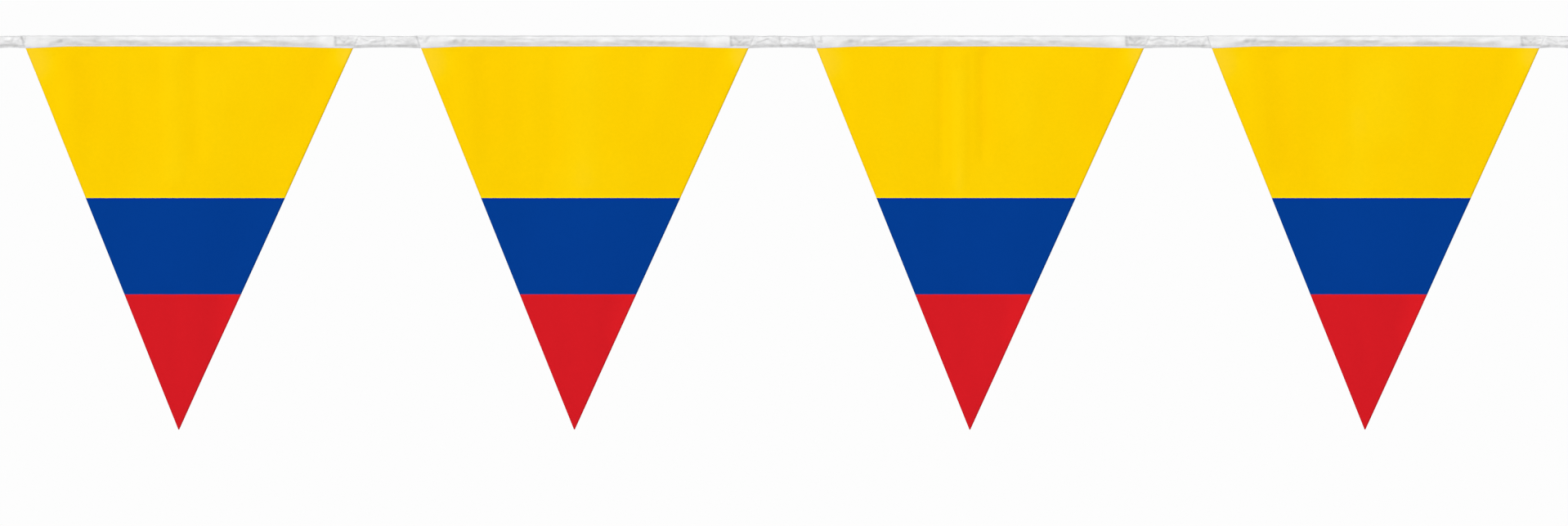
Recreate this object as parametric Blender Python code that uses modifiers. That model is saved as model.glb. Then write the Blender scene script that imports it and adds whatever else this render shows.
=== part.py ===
"""Flag bunting: four triangular pennants of printed cloth, held by their top edges in one long white
tape that is folded over them and sewn.

Metres. +X runs along the tape, -Y is the front and +Z is up. The origin is the middle of the tape's
top edge, where the string of pennants is held.
"""

import math
from collections import namedtuple

import bmesh
import bpy

# The string of pennants
PENNANT_COUNT = 4
PITCH = 0.3015  # from one pennant's corner to the next one's
TAPE_LENGTH = 1.224
SHEET = 0.001  # thickness of every cloth here
CLEARANCE = 0.0003  # between the tape and the pennant inside it

# One pennant, measured along the tape and down from the tape's top edge
DROP = 0.300  # to the tip
CORNER_DEPTH = 0.0092  # to the two corners, where the sides leave the tape
PENNANT_WIDTH = 0.250  # between those corners
TIP_FROM_LEFT = 0.117
HEADING_DEPTH = 0.0019  # to the cut top edge, inside the fold of the tape
FLAT_SHARE = 0.030  # this share of the cloth's height stays flat, in and just below the tape
ROWS = 17

# The folded tape: its two layers, and how far each hangs below its top edge
FOLD_SIDES = 3  # straight sides that make the half round of the fold
OPEN_GAP = SHEET + 2 * CLEARANCE  # between the layers where a pennant is inside
SHUT_GAP = 2 * CLEARANCE  # between the layers elsewhere
OPEN_MARGIN = 0.0045  # the tape stays open this far past a pennant's corner
CLOSING = 0.0030  # length over which it closes
FRONT_DEPTH = 0.0092  # at a pennant's corner
BACK_DEPTH = 0.0089
PENNANT_LIFT = 0.0014  # the front layer's edge is this much higher over the middle of a pennant
MIDDLE_FROM = 0.14  # the middle lasts between these shares of a pennant's width
MIDDLE_TO = 0.70
GAP_LIFT = 0.0006  # both edges are this much higher midway between two pennants
SEAM_UP = 0.0017  # the seam is this far above each edge
RIM_FLARE = 0.0002  # the edge stands out this much from the seam
GAP_SINK = 0.0004  # the top edge lies this much lower between pennants
FLAT_END = 0.0130  # the pressed end of the tape, by which the string is fastened
PENNANT_STEP = 0.0145  # spacing of the tape's sections over a pennant
GAP_STEP = 0.0030  # and between pennants, where it is creased
CREASE_FADE = 0.0060  # the creases die out over this length at both ends of a gap

YELLOW = (0.98, 0.60, 0.001, 1.0)
WHITE = (0.83, 0.83, 0.84, 1.0)
MM = 0.001  # the two tables below are in millimetres

# A soft wave in a pennant: across is where its crest leaves the tape, from the left corner; lean is how
# far the crest drifts to the right by the tip; reach is its half width; depth is how far it stands
# back; it grows from start to full, both measured down from the tape's top edge. Millimetres.
Wave = namedtuple("Wave", "pennant across lean reach depth start full")
WAVES = [
    Wave(0, 14, -26, 17, 1.9, 10, 45),
    Wave(0, 66, 34, 26, 1.5, 10, 120),
    Wave(0, 128, -8, 36, -2.4, 10, 190),
    Wave(0, 205, -70, 24, 1.7, 10, 150),
    Wave(0, 240, -10, 15, -1.6, 10, 40),
    Wave(0, 150, -12, 14, -2.2, 190, 270),
    Wave(1, 12, -20, 16, 2.1, 10, 42),
    Wave(1, 78, 22, 24, 1.8, 10, 110),
    Wave(1, 150, -22, 40, -2.6, 10, 200),
    Wave(1, 222, -84, 22, 1.4, 10, 140),
    Wave(1, 242, -8, 14, -1.8, 10, 38),
    Wave(1, 108, 14, 16, 3.0, 180, 290),
    Wave(2, 13, -22, 16, 1.8, 10, 44),
    Wave(2, 97, 0, 8, 0.9, 10, 30),
    Wave(2, 127, -2, 8, 1.1, 10, 30),
    Wave(2, 170, -42, 34, -2.3, 10, 170),
    Wave(2, 60, 40, 30, -1.6, 30, 160),
    Wave(2, 241, -10, 15, -1.7, 10, 40),
    Wave(2, 144, -10, 15, -2.6, 190, 280),
    Wave(3, 12, -20, 16, 2.0, 10, 44),
    Wave(3, 70, 30, 24, 1.6, 10, 100),
    Wave(3, 160, -38, 38, -2.7, 10, 180),
    Wave(3, 214, -76, 22, 1.6, 10, 150),
    Wave(3, 242, -8, 14, -1.7, 10, 40),
    Wave(3, 120, 6, 18, 2.4, 170, 290),
]

# A crease in the tape between pennants. gap 0 is the left end, then the three gaps, then the right end.
# at is measured from the middle of the gap, or of the end's free length; reach is its half width; front
# and back are how far each layer puffs out, sway how far both move back, and lift how far the top edge
# rises. Millimetres.
Crease = namedtuple("Crease", "gap at reach front back sway lift")
CREASES = [
    Crease(0, -3, 4.0, 0.9, 0.3, -0.4, 0.2),
    Crease(0, 6, 3.5, 0.4, 0.7, 0.5, -0.1),
    Crease(1, -17, 4.5, 0.7, 0.4, -0.5, 0.1),
    Crease(1, -9, 4.0, 1.2, 0.6, 0.3, 0.3),
    Crease(1, -2, 2.5, -0.1, 0.0, -0.6, -0.4),
    Crease(1, 5, 4.5, 1.1, 0.8, 0.4, 0.1),
    Crease(1, 15, 5.0, 0.7, 0.9, -0.5, -0.2),
    Crease(2, -18, 4.0, 0.8, 0.4, 0.4, 0.1),
    Crease(2, -7, 5.0, 1.1, 0.5, -0.4, 0.4),
    Crease(2, 2, 3.0, 0.1, 0.2, 0.5, 0.3),
    Crease(2, 9, 4.0, 1.0, 0.9, -0.6, -0.1),
    Crease(2, 18, 4.5, 0.5, 0.6, 0.3, -0.2),
    Crease(3, -16, 4.5, 1.1, 0.4, -0.5, 0.2),
    Crease(3, -5, 4.0, 0.6, 0.8, 0.5, 0.4),
    Crease(3, 1, 2.5, 0.0, -0.1, -0.4, -0.2),
    Crease(3, 8, 4.5, 1.2, 0.5, 0.3, 0.2),
    Crease(3, 17, 5.0, 0.5, 0.8, -0.5, -0.2),
    Crease(4, -6, 4.0, 0.8, 0.5, 0.5, 0.1),
    Crease(4, 4, 4.5, 0.7, 0.6, -0.4, -0.1),
]


def smooth_step(value, low, high):
    """0 below low, 1 above high, and a smooth rise between."""
    share = min(1.0, max(0.0, (value - low) / (high - low)))
    return share * share * (3 - 2 * share)


def bell(distance, reach):
    return math.exp(-((distance / reach) ** 2))


def left_corner(pennant):
    """Where a pennant's left side leaves the tape, along X."""
    span = (PENNANT_COUNT - 1) * PITCH + PENNANT_WIDTH
    return pennant * PITCH - span / 2


def gap_ends(gap):
    """Both ends, along X, of a stretch of tape with no pennant in it."""
    start = -TAPE_LENGTH / 2 + FLAT_END if gap == 0 else left_corner(gap - 1) + PENNANT_WIDTH
    end = TAPE_LENGTH / 2 - FLAT_END if gap == PENNANT_COUNT else left_corner(gap)
    return start, end


def clear_scene():
    for obj in list(bpy.data.objects):
        bpy.data.objects.remove(obj)


def cloth_material(name, colour, roughness):
    material = bpy.data.materials.new(name)
    material.use_nodes = True
    shader = material.node_tree.nodes["Principled BSDF"]
    shader.inputs["Base Color"].default_value = colour
    shader.inputs["Roughness"].default_value = roughness
    shader.inputs["Metallic"].default_value = 0.0
    return material


def cloth_object(name, bm, material, collection):
    """An open sheet as an object, thickened evenly on both sides."""
    bmesh.ops.recalc_face_normals(bm, faces=bm.faces)
    mesh = bpy.data.meshes.new(name)
    bm.to_mesh(mesh)
    bm.free()
    mesh.materials.append(material)
    mesh.shade_smooth()
    mesh.set_sharp_from_angle(angle=math.radians(50))
    obj = bpy.data.objects.new(name, mesh)
    collection.objects.link(obj)
    thicken = obj.modifiers.new("cloth thickness", "SOLIDIFY")
    thicken.thickness = SHEET
    thicken.offset = 0
    thicken.use_even_offset = True
    thicken.use_quality_normals = True
    return obj


def height_share(row):
    """Share of a pennant's height at a row of its grid: one flat row at the top, then even rows."""
    if row <= 0:
        return 0.0
    return FLAT_SHARE + (1 - FLAT_SHARE) * (row - 1) / (ROWS - 1)


def wave_offset(pennant, x, depth):
    """How far a pennant's cloth stands back at x from its left corner and that far below the top."""
    down = depth / DROP
    return sum(
        wave.depth * MM
        * bell(x - (wave.across + wave.lean * down) * MM, wave.reach * MM)
        * smooth_step(depth, wave.start * MM, wave.full * MM)
        for wave in WAVES
        if wave.pennant == pennant
    )


def add_pennant(pennant, material, collection):
    """A grid cut to a triangle along its cells' diagonals, then given its size and its waves."""
    bm = bmesh.new()
    bmesh.ops.create_grid(bm, x_segments=2 * ROWS, y_segments=ROWS, size=1)
    for vert in bm.verts:
        vert.co.x *= ROWS
        vert.co.y = (1 - vert.co.y) * ROWS / 2
    for side in (-1, 1):
        bmesh.ops.bisect_plane(
            bm,
            geom=bm.verts[:] + bm.edges[:] + bm.faces[:],
            dist=1e-4,
            plane_co=(side * ROWS, 0, 0),
            plane_no=(side, 1, 0),
            clear_outer=True,
        )
    full_height = DROP - HEADING_DEPTH
    widening = full_height / (DROP - CORNER_DEPTH)
    for vert in bm.verts:
        column, row = round(vert.co.x), round(vert.co.y)
        depth = HEADING_DEPTH + height_share(row) * full_height
        reach = (1 - height_share(ROWS - abs(column))) * widening
        to_side = TIP_FROM_LEFT if column < 0 else PENNANT_WIDTH - TIP_FROM_LEFT
        x = TIP_FROM_LEFT + math.copysign(reach * to_side, column)
        y = wave_offset(pennant, x, depth) if row > 1 else 0.0
        vert.co = (left_corner(pennant) + x, y, -depth)
    return cloth_object(f"pennant_{pennant + 1}", bm, material, collection)


def tape_stations():
    """Places along X of the tape's sections: close together in the gaps, wider over the pennants."""
    half = TAPE_LENGTH / 2
    stations = [-half, -half + FLAT_END / 3, -half + FLAT_END * 2 / 3]
    for gap in range(PENNANT_COUNT + 1):
        start, end = gap_ends(gap)
        if gap > 0:
            start -= GAP_STEP
        if gap < PENNANT_COUNT:
            end += GAP_STEP
        steps = round((end - start) / GAP_STEP)
        stations += [start + (end - start) * step / steps for step in range(steps + 1)]
        if gap < PENNANT_COUNT:
            over = PENNANT_WIDTH - 2 * GAP_STEP
            steps = round(over / PENNANT_STEP)
            stations += [end + over * step / steps for step in range(1, steps)]
    stations += [half - FLAT_END * 2 / 3, half - FLAT_END / 3, half]
    return stations


def open_share(x):
    """1 where a pennant holds the tape's layers apart, 0 where they lie together."""
    past = min(
        max(left_corner(pennant) - x, x - left_corner(pennant) - PENNANT_WIDTH)
        for pennant in range(PENNANT_COUNT)
    )
    return 1 - smooth_step(past, OPEN_MARGIN, OPEN_MARGIN + CLOSING)


def edge_lifts(x):
    """How much higher than at a corner the front and the back layer's edges are."""
    for pennant in range(PENNANT_COUNT):
        along = (x - left_corner(pennant)) / PENNANT_WIDTH
        if 0 <= along <= 1:
            middle = smooth_step(along, 0, MIDDLE_FROM) * (1 - smooth_step(along, MIDDLE_TO, 1))
            return PENNANT_LIFT * middle, 0.0
    for gap in range(PENNANT_COUNT + 1):
        start, end = gap_ends(gap)
        if start < x < end:
            lift = GAP_LIFT * 4 * (x - start) * (end - x) / (end - start) ** 2
            return lift, lift
    return 0.0, 0.0


def crease_at(x):
    """Sums of the creases at x, in metres: front puff, back puff, sway and lift."""
    total = [0.0] * 4
    for gap in range(PENNANT_COUNT + 1):
        start, end = gap_ends(gap)
        if not start <= x <= end:
            continue
        ends = smooth_step(min(x - start, end - x), 0, CREASE_FADE)
        for crease in CREASES:
            if crease.gap == gap:
                share = ends * bell(x - (start + end) / 2 - crease.at * MM, crease.reach * MM)
                puffs = (crease.front, crease.back, crease.sway, crease.lift)
                total = [old + share * MM * puff for old, puff in zip(total, puffs)]
    return total


def tape_layer(depth, top, flare, puff):
    """(distance from the fold's middle, z) of one layer's points, from its edge up to where it puffs."""
    seam = depth - SEAM_UP
    return [(flare, -depth), (0.0, -seam), (puff, (top - seam) / 2)]


def tape_section(x):
    """(y, z) points of the tape's middle surface at x, from the front layer's edge over the fold to the
    back layer's edge."""
    share = open_share(x)
    front_puff, back_puff, sway, lift = (value * (1 - share) for value in crease_at(x))
    front_lift, back_lift = edge_lifts(x)
    gap = SHUT_GAP + (OPEN_GAP - SHUT_GAP) * share
    radius = gap / 2 + SHEET / 2
    centre = lift - GAP_SINK * (1 - share) - radius * math.cos(math.pi / FOLD_SIDES / 2) - SHEET / 2
    flare = RIM_FLARE * smooth_step(TAPE_LENGTH / 2 - FLAT_END - abs(x), 0, GAP_STEP)
    front = tape_layer(FRONT_DEPTH - front_lift, centre, flare, front_puff)
    back = tape_layer(BACK_DEPTH - back_lift, centre, flare, back_puff)
    section = [(-radius - out, z) for out, z in front]
    for side in range(FOLD_SIDES + 1):
        turn = math.pi * side / FOLD_SIDES
        section.append((-radius * math.cos(turn), centre + radius * math.sin(turn)))
    section += [(radius + out, z) for out, z in reversed(back)]
    return [(y + sway, z) for y, z in section]


def add_tape(material, collection):
    """A long grid bent to the folded section at each of its stations."""
    stations = tape_stations()
    sections = [tape_section(x) for x in stations]
    across = len(sections[0]) - 1
    along = len(stations) - 1
    bm = bmesh.new()
    bmesh.ops.create_grid(bm, x_segments=along, y_segments=across, size=1)
    for vert in bm.verts:
        station = round((vert.co.x + 1) / 2 * along)
        point = round((vert.co.y + 1) / 2 * across)
        y, z = sections[station][point]
        vert.co = (stations[station], y, z)
    return cloth_object("tape", bm, material, collection)


def build():
    clear_scene()
    collection = bpy.data.collections.new("flag bunting")
    bpy.context.scene.collection.children.link(collection)
    printed = cloth_material("printed cloth", YELLOW, 0.75)
    ribbon = cloth_material("white ribbon", WHITE, 0.55)
    add_tape(ribbon, collection)
    for pennant in range(PENNANT_COUNT):
        add_pennant(pennant, printed, collection)


build()
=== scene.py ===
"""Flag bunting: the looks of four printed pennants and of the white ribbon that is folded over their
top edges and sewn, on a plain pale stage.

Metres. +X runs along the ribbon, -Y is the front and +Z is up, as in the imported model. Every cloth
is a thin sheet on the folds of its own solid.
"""

import math
from collections import namedtuple

import bmesh
import bpy
import numpy as np
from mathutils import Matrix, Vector, noise
from mathutils.bvhtree import BVHTree


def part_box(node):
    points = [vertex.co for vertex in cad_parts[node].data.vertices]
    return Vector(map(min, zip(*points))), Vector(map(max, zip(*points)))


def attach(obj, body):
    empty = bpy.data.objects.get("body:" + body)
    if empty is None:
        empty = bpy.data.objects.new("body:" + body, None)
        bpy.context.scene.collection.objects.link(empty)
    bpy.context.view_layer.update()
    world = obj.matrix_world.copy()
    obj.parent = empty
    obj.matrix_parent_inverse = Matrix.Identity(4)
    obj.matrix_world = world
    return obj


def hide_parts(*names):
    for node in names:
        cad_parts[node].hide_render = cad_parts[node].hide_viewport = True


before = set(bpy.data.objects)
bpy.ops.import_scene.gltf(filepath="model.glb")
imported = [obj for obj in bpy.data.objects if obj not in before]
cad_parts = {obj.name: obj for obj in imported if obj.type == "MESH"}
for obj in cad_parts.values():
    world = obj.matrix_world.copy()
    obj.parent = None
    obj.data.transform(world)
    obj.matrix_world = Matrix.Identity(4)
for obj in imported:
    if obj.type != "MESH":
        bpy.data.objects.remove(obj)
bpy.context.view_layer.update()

bl_info = {
    "name": "Flag Bunting",
    "version": (1, 0, 0),
    "blender": (4, 5, 0),
    "location": "View3D > Sidebar > Bunting",
    "description": "Dresses a string of printed pennants and the sewn ribbon that holds them",
    "category": "Add Mesh",
}

MM = 0.001
TAPE = "tape"
PENNANTS = sorted(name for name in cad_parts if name.startswith("pennant_"))
BODY = "root"

# The photograph's frame, which sets where the camera stands
PHOTO_WIDTH = 1918
PHOTO_HEIGHT = 643
RIBBON_TOP_PIXEL = 43.8
METRES_PER_PIXEL = 0.0006234
VIEW_CENTRE = 1.15 * MM  # the photograph's middle lies this far right of the string's

# A pennant's outline, read from its solid
TIP_PICK = 0.3 * MM  # points this near the lowest one belong to the tip
TIP_WIDTH = 0.7 * MM
AIM_SHARE = 0.985  # rays at the solid start this share of the way from its middle to the outline
RAY_REACH = 0.05

# The ribbon's sections along X
CORNER_LEVEL = -9.2 * MM  # height at which the pennants' sides leave the ribbon
PLAIN_FROM = 36 * MM  # from a pennant's left corner: the ribbon runs plainly from here
PLAIN_TO = 212 * MM  # to here
PLAIN_STEP = 2.4 * MM
FINE_STEP = 0.7 * MM
SIDE_POINTS = 20  # points down each side of the fold
SIDE_SPREAD = 1.35  # above 1, they lie closer together near the fold
TURN = 0.13  # share of the depth that the round fold takes
SEAM_UP = 1.7 * MM  # the seam is this far above each edge
SEAM_ROW = -3  # its thread takes the grey of this row of points
SEAM_STOP = 3  # it stops this many stations before the ribbon's ends
END_CLEAR = 0.2 * MM  # the solid is sampled from this far inside its ends
FOLD_CLEAR = 2.0 * MM  # between this far below its top
RIM_CLEAR = 0.4 * MM  # and this far above its edge
BODY_LEVEL = -5 * MM  # height at which its two sides are surely hit
EDGE_PROBES = [0.2 * MM, 0.4 * MM, 0.6 * MM, 0.8 * MM]  # its edges are felt for this far inside them
SETTLE = 2.2 * MM  # the solid's facets are rounded over this length
SETTLE_WIDTH = 7.0 * MM  # and its plain width is taken over this one
SIDE_EDGE = 0.8 * MM  # width of the step where a pennant's side shows through the ribbon
CLOSE_GAP = 0.04 * MM  # air between two sheets that touch
DRAWN_IN = 0.5  # at its edge the ribbon's middle is back at the pennants' plane by this share
FIRM = (0.62, 0.9)  # between these shares of the depth the seam begins to hold the relief down
FIRM_SHARE = 0.7  # by this share

# The ribbon's crumples, noise with sharp valleys: the share that is left where a pennant is pressed in
# the ribbon, what the plain stretch and the crumpled corner add to it, and lengths in millimetres
PRESSED_CRUMPLE = 0.08
PLAIN_CRUMPLE = 0.52
CORNER_CRUMPLE = 0.72
CRUMPLE_LENGTH_PLAIN = 9.0
CRUMPLE_LENGTH = 6.2
CRUMPLE_HEIGHT = 3.8
VALLEY_LEVEL = 0.45
FINE_SHARE = 0.4
FINE_SCALE = 2.7
FRONT_SEED = 11.3
BACK_SEED = 47.9
SEED_STEP = 3.1

# Painted shade in the ribbon's hollows, on its down-turned slopes and on its woven edge between pennants;
# a little painted highlight where it turns out
SHADE_STRENGTH = 0.12  # a full share of grey takes this much off the white
HOLLOW = 0.42 * MM  # a crease as deep as this has a full share
SLOPE_SHADE = 1.0  # shares on cloth that turns in by as much as it goes down
TURN_OUT = -0.2  # cloth that turns out counts for this at most
EDGE_SHADE = 1.3  # shares on the woven edge between the pennants
UNSHADED_EDGE = (0.86, 0.97)  # over a pennant the grey fades between these shares of the depth
UNSHADED_SHARE = 0.85  # by this share

# How far the ribbon stands off the pennant's middle, in millimetres, at shares of its depth: over the
# middle of a pennant, where it is pressed flat, on the smooth stretch before its right corner, at that
# crumpled corner, and between pennants
STANDOFFS = {
    "share": (0, 0.08, 0.16, 0.26, 0.36, 0.46, 0.56, 0.64, 0.7, 0.76, 0.82, 0.88, 0.93, 1),
    "middle": (1.5, 1.76, 1.98, 2.16, 2.26, 2.24, 2.08, 1.86, 1.62, 1.34, 1.02, 0.7, 0.52, 0.48),
    "pressed": (0.88, 0.9, 0.92, 0.93, 0.93, 0.92, 0.91, 0.89, 0.86, 0.82, 0.76, 0.66, 0.54, 0.48),
    "smooth": (0.95, 1.08, 1.2, 1.31, 1.36, 1.36, 1.32, 1.25, 1.17, 1.06, 0.9, 0.7, 0.54, 0.48),
    "corner": (0.7, 0.92, 1.2, 1.5, 1.68, 1.7, 1.6, 1.42, 1.2, 0.94, 0.68, 0.48, 0.44, 0.45),
    "gap": (1.05, 1.26, 1.44, 1.56, 1.61, 1.62, 1.61, 1.58, 1.52, 1.38, 1.08, 0.7, 0.42, 0.27),
}

# Where the kinds of section change, from a pennant's left corner
PRESSED_END = (16 * MM, 29 * MM)
SMOOTH_START = (214 * MM, 224 * MM)
CORNER_START = (234.6 * MM, 235.8 * MM)

# Stretches with more painted shade, or painted highlight where the share is negative: where they fade in
# and out, measured so too, and their share
SHADE_STRETCHES = [
    (CORNER_START, (248 * MM, 254 * MM), 0.45),
    ((-13 * MM, -9 * MM), (-3.5 * MM, -1 * MM), 0.35),
    ((218 * MM, 226 * MM), CORNER_START, -0.30),
]

# Strokes on the cloth, for one pennant or for EACH: from a place, given across from the pennant's left
# corner and down from the ribbon's top, to a second one, with reach and amount. In millimetres.
EACH = -1

# Creases in the ribbon, pressed in where the amount is positive; their depth also paints shade into the
# ribbon, and the wide shallow rows do little else
RIBBON_CREASES = {
    EACH: [
        (19.5, 7.2, 27, 5, 3.3, 0.56), (26, 4.6, 33, 3.4, 2.6, 0.3), (31, 6.2, 41, 5.9, 2.7, 0.2),
        (50, 2.4, 76, 2.4, 4.2, 0.15), (128, 6, 154, 6, 3.6, -0.16), (237, 1.5, 250, 1.9, 1.6, 0.38),
        (237, 7.4, 250, 7.6, 1.4, 0.45), (-2.8, 0.8, -0.4, 8.2, 0.9, 0.55),
        (236.4, 0.6, 237, 7.6, 1.5, 0.6), (239, 1.6, 243, 5.4, 1.3, 0.38),
        (243, 5.4, 246.5, 1.8, 1.2, 0.34), (246, 6.6, 250, 4.4, 1, 0.22), (254, 0.6, 251, 8, 0.9, 0.6),
        (273.4, 0.2, 275, 8.4, 1.2, 0.5),
    ],
    0: [
        (45, 4.2, 54, 4.4, 1.9, 0.22), (72, 4.6, 91, 5.8, 2.2, 0.34), (124, 5.6, 131, 5.2, 2.2, 0.14),
        (144, 1.6, 150, 1.8, 1.4, 0.2), (160, 5.4, 170, 5.6, 2.1, 0.34), (181, 4.6, 190, 5.4, 2, 0.28),
        (256, 2.2, 262, 4, 1.2, 0.34), (262, 4, 268, 2.4, 1, -0.26), (266, 5.2, 273, 3.6, 1, 0.32),
        (-20, 2.8, -12, 4.4, 1.4, 0.24), (-3, 0.6, -0.5, 5.2, 1.1, 0.7), (0, 0.4, -0.1, 5, 0.8, 0.45),
        (-19, 7, -1.5, 7.3, 0.9, 0.38), (25, 2.6, 68, 2.6, 4.4, 0.24),
    ],
    1: [
        (-3, 0.6, 0.2, 2.8, 1.2, 0.55), (-18.5, 7.1, -1.5, 7.3, 0.9, 0.36), (238, 3, 250, 3, 4.6, 0.12),
        (6.2, 1.2, 3.8, 4.6, 2, 0.46), (1.2, 1.4, 2.2, 3.6, 1.4, 0.34), (-22, 3.2, -15, 4.6, 1.3, 0.3),
        (-16, 1.4, -11, 3, 1, -0.24), (33, 4.4, 64, 5.4, 2.1, 0.36), (71, 2.8, 86, 3.2, 1.7, 0.3),
        (98, 5.6, 112, 5.4, 2, 0.32), (126, 4.8, 135, 5.4, 2, 0.28), (150, 4.4, 176, 5.4, 2.1, 0.36),
        (184, 5.6, 193, 5.6, 2, 0.3), (257, 5, 265, 2.6, 1.2, 0.36), (264, 2.4, 270, 5.8, 1, 0.3),
        (260, 1.2, 268, 1.6, 0.9, -0.22),
    ],
    2: [
        (-23, 1.8, -17, 4.8, 1.2, 0.32), (-25, 7, -17.6, 7.3, 1, 0.42), (-14, 7.1, -1.5, 7.3, 0.9, 0.34),
        (237, 2.6, 250, 3.6, 4.6, 0.14), (-14, 4.8, -8, 3, 1, -0.26), (3.8, 1.2, 4.4, 4.6, 1, 0.75),
        (1.6, 4.6, 4.2, 5.2, 0.9, 0.55), (42, 4.6, 50, 3.4, 1.5, 0.26), (54, 5.2, 69, 4.2, 1.6, 0.3),
        (76, 5.2, 88, 5, 1.8, 0.22), (102, 4.2, 108, 5.6, 2, 0.34), (116, 3.8, 131, 5.4, 2, 0.34),
        (158, 3.4, 172, 5.4, 2, 0.34), (178, 5.4, 186, 5.2, 1.8, 0.26), (255, 4.4, 261, 2, 1.1, 0.34),
        (262, 2, 271, 4.8, 1.2, 0.36),
    ],
    3: [
        (-22, 4.8, -14, 2.2, 1.2, 0.34), (-18.5, 7.2, -1.5, 7.4, 0.9, 0.38), (-13, 2, -9, 5.2, 1, 0.26),
        (29, 3, 40, 5.2, 2.2, 0.3), (42, 5.2, 62, 5.6, 2, 0.32), (94, 4.6, 127, 5.4, 2.3, 0.36),
        (153, 5.6, 172, 5.8, 2, 0.18), (44, 2.6, 62, 2.6, 4, 0.16), (182, 5.4, 190, 5.6, 1.9, 0.26),
        (256, 2, 263, 5, 1.2, 0.34), (266, 4.4, 280, 2.8, 1.3, 0.3),
    ],
}
SHOWN_THROUGH = 0.55  # share of a crease that also shows on the back of the ribbon

# Small folds of the pennants, pressed in where the amount is positive
PENNANT_FOLDS = {
    0: [
        (21, 12, 25, 62, 9, 0.42), (46, 14, 50, 92, 14, 0.7), (70, 20, 73, 84, 10, -0.4),
        (112, 10, 113, 110, 11, -0.6), (130, 14, 131, 90, 9, 0.55), (229, 12, 219, 44, 11, 0.42),
        (112, 200, 118, 250, 12, 0.55),
    ],
    1: [
        (20, 12, 24, 58, 9, 0.42), (48, 20, 52, 90, 14, 0.75), (84, 34, 86, 110, 10, -0.4),
        (100, 12, 101, 96, 8, 0.4), (124, 20, 125, 118, 16, -0.65), (171, 10, 166, 64, 14, 0.5),
        (229, 12, 221, 40, 11, 0.42), (110, 200, 116, 248, 12, 0.5),
    ],
    2: [
        (18, 12, 23, 60, 9, 0.42), (95, 10, 96, 98, 6, 0.6), (110, 10, 110, 110, 8, -0.62),
        (127, 10, 128, 92, 7, 0.75), (160, 34, 158, 70, 16, -0.5), (229, 12, 220, 46, 11, 0.42),
        (108, 198, 117, 246, 12, 0.55),
    ],
    3: [
        (20, 12, 26, 58, 9, 0.45), (50, 14, 56, 100, 14, 0.75), (98, 14, 99, 92, 9, -0.42),
        (132, 30, 128, 80, 20, -0.7), (172, 40, 170, 74, 14, 0.42), (228, 12, 220, 48, 11, 0.45),
        (110, 198, 118, 250, 12, 0.5),
    ],
}

# Where the print is paler, or deeper where the amount is negative; partly these tints are painted
# highlight and painted shade of the soft folds
PENNANT_TINTS_AND_LIGHT = {
    EACH: [
        (-3, 7, 4, 20, 27, 2.8), (253, 7, 248, 15, 21, 3), (100, 112, 150, 112, 30, 0.35),
        (159, 196, 152, 226, 17, 1.5), (100, 206, 106, 240, 16, -0.5),
    ],
    0: [
        (112, 12, 112, 104, 13, 0.75), (150, 34, 148, 74, 34, 0.4), (42, 26, 50, 60, 26, -0.6),
        (222, 20, 205, 60, 30, -0.55),
    ],
    1: [
        (122, 16, 124, 110, 23, 0.95), (50, 22, 56, 66, 25, -0.6), (214, 16, 206, 44, 28, -0.6),
    ],
    2: [
        (80, 24, 84, 60, 20, 0.3), (109, 30, 109, 116, 9, 0.95), (127, 8, 128, 76, 8, -0.95),
        (95, 8, 96, 66, 6, -0.6), (160, 40, 158, 80, 26, 0.55), (225, 18, 210, 56, 30, -0.65),
    ],
    3: [
        (128, 34, 128, 66, 34, 1.05), (108, 60, 112, 112, 15, 0.7), (48, 18, 60, 96, 24, -0.65),
        (205, 18, 196, 60, 30, -0.6),
    ],
}

# Uneven cloth of the pennants, in millimetres
BELOW_RIBBON = (9, 16)  # folds and ripples grow between these depths
RIPPLE_WIDTH = 21
RIPPLE_LENGTH = 46
RIPPLE_HEIGHT = 0.28
RIPPLE_SEED = 7.7

# Colours of the print where it is deeper and paler, which partly stand for light and shade on folds, of
# bare threads, and of white in painted shade
DEEP_YELLOW = (0.932, 0.573, 0.0001)
PALE_YELLOW = (0.934, 0.614, 0.0012)
PALEST_YELLOW = (0.934, 0.622, 0.0150)
PALE_RED = (0.74, 0.0125, 0.018)
BARE_THREADS = (0.80, 0.79, 0.76)
SHADED_WHITE = (0.80, 0.80, 0.80)
BORDER = 0.16 * MM  # half the soft border between two bands
CREEP = 0.25 * MM  # how far the ink creeps across it

# Stitches: the thread's share of the pitch, the crown of its arc in dips, the least and the greatest
# size, and the length of a twist
STITCH_SHARE = 0.94
CROWN = 1.1
LEAST_SIZE = (0.94, 0.85, 0.7)
MOST_SIZE = (1.02, 1.12, 1.25)
THREAD_TWIST = 0.35 * MM
EDGE_TWIST = 0.6 * MM

# The stage
KEY_SPREAD = math.radians(28)
FILL = (math.radians(158), math.radians(12), 0.80, math.radians(40))  # as add_sun takes them
HORIZON = 0.35  # the light from below turns into that from above over twice this height of the sky
FLOOR_RADIUS = 8.0
FLOOR_FADE = (0.8, 6.8)  # it fades into the surroundings between these distances
FLOOR_LEAST = 0.45  # and is this far faded everywhere


def colour_property(name, default, description):
    """A colour that a user may change."""
    return bpy.props.FloatVectorProperty(
        name=name, description=description, subtype="COLOR", size=3, min=0, max=1, default=default)


def number_property(name, default, description, **limits):
    """A number that a user may change."""
    return bpy.props.FloatProperty(name=name, default=default, description=description, **limits)


def length_property(name, default, description):
    """A length that a user may change, in metres."""
    return number_property(name, default, description, unit="LENGTH", min=0, precision=5)


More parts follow.
